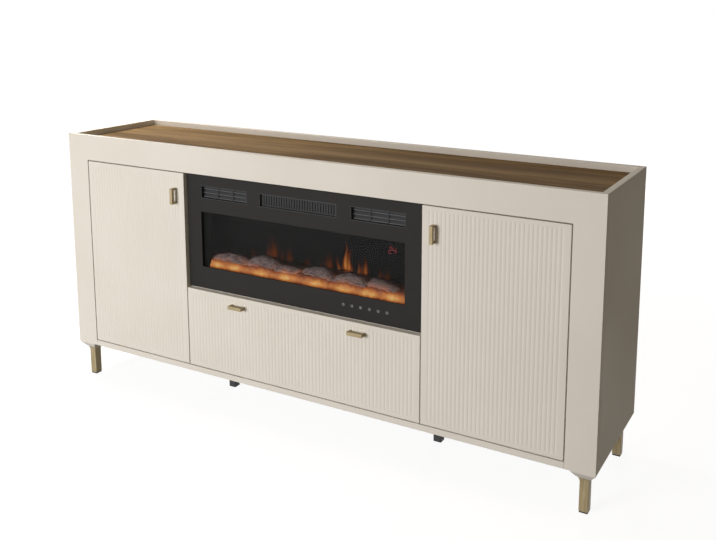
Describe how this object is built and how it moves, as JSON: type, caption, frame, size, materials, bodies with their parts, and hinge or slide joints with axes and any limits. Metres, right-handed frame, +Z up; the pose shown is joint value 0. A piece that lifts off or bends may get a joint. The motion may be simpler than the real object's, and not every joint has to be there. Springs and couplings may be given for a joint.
{
  "type": "electric fireplace sideboard",
  "caption": "Low sideboard with fluted hinged doors, a wide drawer on runners, a built-in electric fire, a top sunk in a rim and flared legs.",
  "frame": {"origin": "on the floor, midway between the sides, and midway between the front of the pulls and the back of the carcass", "axes": "+X to the right of someone facing the front, +Y from the front to the back, +Z up"},
  "size_m": [1.8, 0.41, 0.84],
  "materials": {
    "cream_board": "matt cream lacquer on board",
    "wood_top": "satin brown wood grain",
    "back_hardboard": "matt painted hardboard",
    "drawer_board": "matt foil on board",
    "satin_brass": "satin brushed brass",
    "black_plastic": "matt black",
    "zinc_steel": "zinc plated",
    "fascia_black": "matt charcoal powder coat",
    "chassis_black": "matt black coat on sheet steel",
    "window_glass": "clear, slightly smoked",
    "flame_screen": "dark frosted acrylic",
    "ember_resin": "lit translucent resin",
    "log_resin": "charred grey resin",
    "circuit_board": "dark solder mask",
    "heater_ceramic": "matt",
    "reflector_foil": "bright"
  },
  "bodies": {
    "cabinet": {"side_panel_left": "cream_board", "side_panel_right": "cream_board", "front_stile_left": "cream_board", "front_stile_right": "cream_board", "front_top_rail": "cream_board", "back_top_rail": "cream_board", "top_panel": "wood_top", "bottom_panel": "cream_board", "partition_left": "cream_board", "partition_right": "cream_board", "fire_shelf": "cream_board", "shelf_left": "cream_board", "shelf_right": "cream_board", "back_panel": "back_hardboard", "leg_front_left": "satin_brass", "leg_front_right": "satin_brass", "leg_back_left": "satin_brass", "leg_back_right": "satin_brass", "glide_front_left": "black_plastic", "glide_front_right": "black_plastic", "glide_back_left": "black_plastic", "glide_back_right": "black_plastic", "centre_foot_left": "black_plastic", "centre_foot_right": "black_plastic", "hinge_plate_left_lower": "zinc_steel", "hinge_plate_left_upper": "zinc_steel", "hinge_plate_right_lower": "zinc_steel", "hinge_plate_right_upper": "zinc_steel", "runner_outer_left": "zinc_steel", "runner_outer_right": "zinc_steel", "fire_fascia": "fascia_black", "outlet_grille": "fascia_black", "fire_glass": "window_glass", "fire_chassis": "chassis_black", "flame_screen": "flame_screen", "ember_bed": "ember_resin", "log_set": "log_resin", "control_board": "circuit_board", "heater_element": "heater_ceramic", "flicker_motor": "zinc_steel", "fan_motor": "zinc_steel"},
    "door_left_body": {"door_left": "cream_board", "door_handle_left": "satin_brass", "hinge_cup_left_lower": "zinc_steel", "hinge_cup_left_upper": "zinc_steel"},
    "door_right_body": {"door_right": "cream_board", "door_handle_right": "satin_brass", "hinge_cup_right_lower": "zinc_steel", "hinge_cup_right_upper": "zinc_steel"},
    "drawer": {"drawer_front": "cream_board", "drawer_side_left": "drawer_board", "drawer_side_right": "drawer_board", "drawer_back": "drawer_board", "drawer_bottom": "drawer_board", "drawer_handle_left": "satin_brass", "drawer_handle_right": "satin_brass"},
    "runner_middle_left_body": {"runner_middle_left": "zinc_steel"},
    "runner_middle_right_body": {"runner_middle_right": "zinc_steel"},
    "flicker_rotor_body": {"flicker_rotor": "reflector_foil"},
    "fan_rotor_body": {"fan_rotor": "black_plastic"}
  },
  "joints": [
    {"name": "door_left_swing", "type": "hinge", "parent": "cabinet", "child": "door_left_body", "pos_m": [-0.815, -0.185, 0.448], "axis": [0, 0, -1], "range_deg": [0, 100]},
    {"name": "door_right_swing", "type": "hinge", "parent": "cabinet", "child": "door_right_body", "pos_m": [0.815, -0.185, 0.448], "axis": [0, 0, 1], "range_deg": [0, 100]},
    {"name": "drawer_slide", "type": "slide", "parent": "cabinet", "child": "drawer", "axis": [0, -1, 0], "range_m": [0, 0.3]},
    {"name": "runner_left_slide", "type": "slide", "parent": "cabinet", "child": "runner_middle_left_body", "axis": [0, -1, 0], "range_m": [0, 0.15]},
    {"name": "runner_right_slide", "type": "slide", "parent": "cabinet", "child": "runner_middle_right_body", "axis": [0, -1, 0], "range_m": [0, 0.15]},
    {"name": "flicker_spin", "type": "hinge", "parent": "cabinet", "child": "flicker_rotor_body", "pos_m": [0, -0.0564, 0.5218], "axis": [1, 0, 0], "continuous": true},
    {"name": "fan_spin", "type": "hinge", "parent": "cabinet", "child": "fan_rotor_body", "pos_m": [0, -0.0609, 0.7044], "axis": [1, 0, 0], "continuous": true}
  ],
  "couplings": [
    {"joint": "runner_left_slide", "follows": "drawer_slide", "ratio": 0.5},
    {"joint": "runner_right_slide", "follows": "drawer_slide", "ratio": 0.5}
  ]
}
